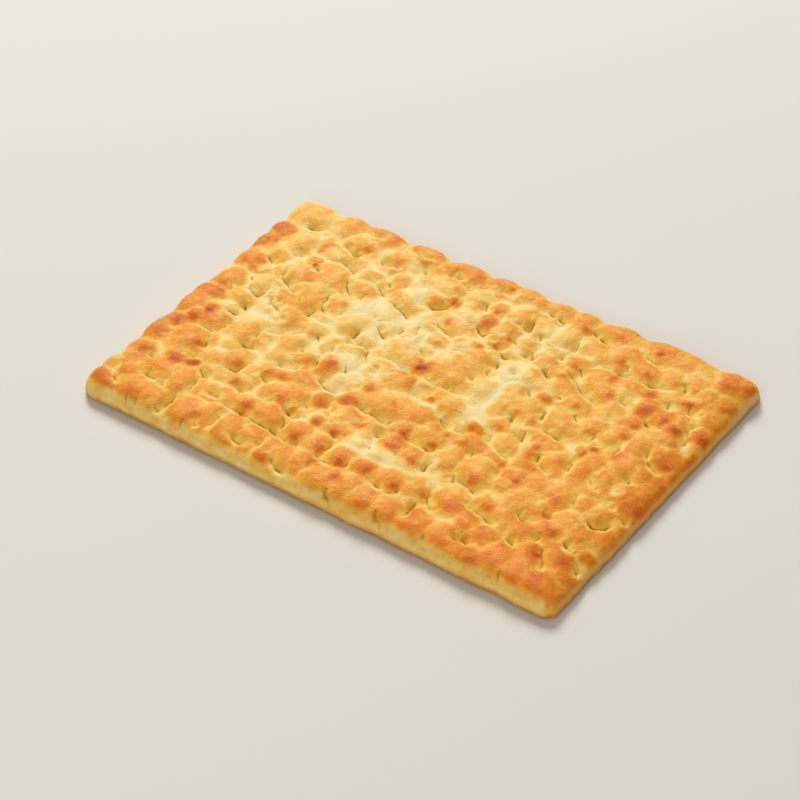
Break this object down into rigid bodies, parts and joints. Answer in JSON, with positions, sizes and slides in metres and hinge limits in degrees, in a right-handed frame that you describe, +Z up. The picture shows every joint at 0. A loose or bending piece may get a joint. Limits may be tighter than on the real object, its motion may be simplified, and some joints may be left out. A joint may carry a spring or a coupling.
{
  "type": "focaccia",
  "caption": "Whole flat sheet of tray-baked focaccia with rounded corners, a puffed dimpled top and a flat underside.",
  "frame": {"origin": "middle of the flat underside", "axes": "+X along the long side, +Y across the short side towards the back, +Z up out of the dimpled top"},
  "size_m": [0.58, 0.368, 0.025],
  "materials": {
    "baked_crust": "matte"
  },
  "bodies": {
    "root": {"focaccia": "baked_crust"}
  },
  "joints": []
}
